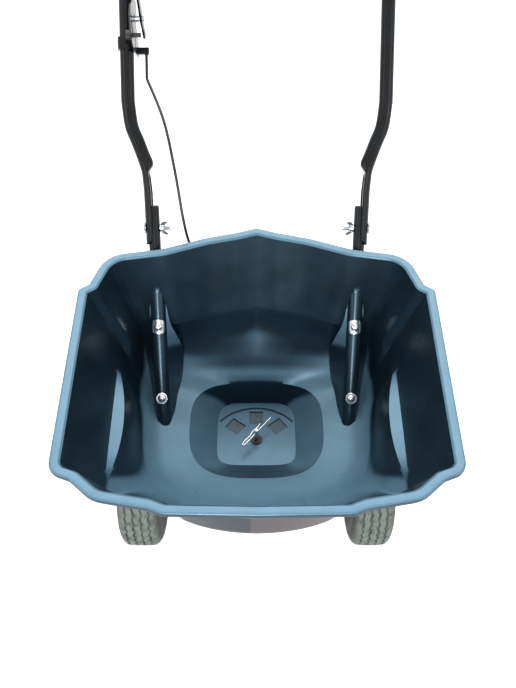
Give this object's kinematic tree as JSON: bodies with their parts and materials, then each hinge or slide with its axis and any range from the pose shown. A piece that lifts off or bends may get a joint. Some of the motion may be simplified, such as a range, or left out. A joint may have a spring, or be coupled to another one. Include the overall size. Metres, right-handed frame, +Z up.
{
  "type": "broadcast spreader",
  "caption": "Walk-behind broadcast spreader: open hopper on a tubular wheeled frame, with a geared spreading disc, a sliding shutter and a rate lever on the handle.",
  "frame": {"origin": "on the ground, under the middle of the whole machine's box", "axes": "+Z up, +Y from the hopper towards the handle, +X to the right seen from the front, looking along +Y"},
  "size_m": [0.6288, 0.9368, 1.0535],
  "materials": {
    "hopper_plastic": "smooth moulded polyethylene with a soft gloss",
    "black_steel": "gloss black powder coat",
    "zinc": "bright zinc plating",
    "bright_steel": "plain stainless steel",
    "black_plastic": "moulded black plastic",
    "tyre_rubber": "ribbed rubber, dusty on the tread",
    "rim_plastic": "moulded black plastic",
    "nylon": "natural nylon",
    "foam": "closed-cell foam",
    "knob_plastic": "moulded black plastic"
  },
  "bodies": {
    "frame": {"axle_bush_left": "nylon", "axle_bush_right": "nylon", "cable_bracket": "black_steel", "cable_housing": "black_plastic", "end_cap_left": "black_plastic", "end_cap_right": "black_plastic", "frame_tube_left": "black_steel", "frame_tube_right": "black_steel", "gear_case_lower": "black_plastic", "gear_case_upper": "black_plastic", "grip_left": "foam", "grip_right": "foam", "handle_bolt_left": "zinc", "handle_bolt_right": "zinc", "handle_tube": "black_steel", "hopper": "hopper_plastic", "hopper_bolt_left_lower": "bright_steel", "hopper_bolt_left_upper": "bright_steel", "hopper_bolt_right_lower": "bright_steel", "hopper_bolt_right_upper": "bright_steel", "hopper_nut_left_lower": "zinc", "hopper_nut_left_upper": "zinc", "hopper_nut_right_lower": "zinc", "hopper_nut_right_upper": "zinc", "hopper_washer_left_lower": "bright_steel", "hopper_washer_left_upper": "bright_steel", "hopper_washer_right_lower": "bright_steel", "hopper_washer_right_upper": "bright_steel", "lever_console": "black_steel", "lever_pivot_bolt": "zinc", "shaft_bush": "nylon", "shutter_guide_left": "nylon", "shutter_guide_right": "nylon", "stand": "black_steel", "stand_rivet_left": "zinc", "stand_rivet_right": "zinc"},
    "drive_axle": {"axle": "zinc", "crown_gear": "nylon", "wheel_rim_left": "rim_plastic", "tyre_left": "tyre_rubber", "drive_pin": "zinc", "wheel_spacer_left": "zinc", "wheel_spacer_right": "zinc", "retaining_washer": "zinc", "cotter_pin": "zinc"},
    "free_wheel": {"wheel_rim_right": "rim_plastic", "tyre_right": "tyre_rubber"},
    "impeller_group": {"impeller_shaft": "zinc", "pinion": "nylon", "impeller": "black_plastic", "agitator_clip": "bright_steel"},
    "shutter_group": {"shutter": "zinc", "shutter_wire": "bright_steel"},
    "lever_group": {"lever": "black_steel", "lever_knob": "knob_plastic"},
    "lever_wire_group": {"lever_wire": "bright_steel"},
    "rate_stop_group": {"rate_stop": "knob_plastic"},
    "left_wing_nut": {"wing_nut_left": "zinc"},
    "right_wing_nut": {"wing_nut_right": "zinc"}
  },
  "joints": [
    {"name": "axle_spin", "type": "hinge", "parent": "frame", "child": "drive_axle", "pos_m": [0, -0.11255, 0.13], "axis": [1, 0, 0], "continuous": true},
    {"name": "free_wheel_spin", "type": "hinge", "parent": "frame", "child": "free_wheel", "pos_m": [0.24, -0.11255, 0.13], "axis": [1, 0, 0], "continuous": true},
    {"name": "impeller_spin", "type": "hinge", "parent": "frame", "child": "impeller_group", "pos_m": [0, -0.11255, 0.243], "axis": [0, 0, 1], "continuous": true},
    {"name": "lever_swing", "type": "hinge", "parent": "frame", "child": "lever_group", "pos_m": [-0.2087, 0.37078, 0.926], "axis": [1, 0, 0], "range_deg": [0, 60]},
    {"name": "shutter_slide", "type": "slide", "parent": "frame", "child": "shutter_group", "axis": [0, 1, 0], "range_m": [0, 0.0381]},
    {"name": "lever_wire_slide", "type": "slide", "parent": "frame", "child": "lever_wire_group", "axis": [0, 0.6428, 0.766], "range_m": [0, 0.0382]},
    {"name": "rate_stop_slide", "type": "hinge", "parent": "frame", "child": "rate_stop_group", "pos_m": [-0.2087, 0.37078, 0.926], "axis": [-1, 0, 0], "range_deg": [0, 40]},
    {"name": "left_wing_nut_turn", "type": "hinge", "parent": "frame", "child": "left_wing_nut", "pos_m": [-0.1923, 0.13037, 0.6395], "axis": [1, 0, 0], "range_deg": [0, 180]},
    {"name": "right_wing_nut_turn", "type": "hinge", "parent": "frame", "child": "right_wing_nut", "pos_m": [0.1923, 0.13037, 0.6395], "axis": [-1, 0, 0], "range_deg": [0, 180]}
  ],
  "couplings": [
    {"joint": "impeller_spin", "follows": "axle_spin", "ratio": -3},
    {"joint": "shutter_slide", "follows": "lever_swing", "m_per_rad": 0.036287},
    {"joint": "lever_wire_slide", "follows": "lever_swing", "m_per_rad": 0.036287}
  ]
}
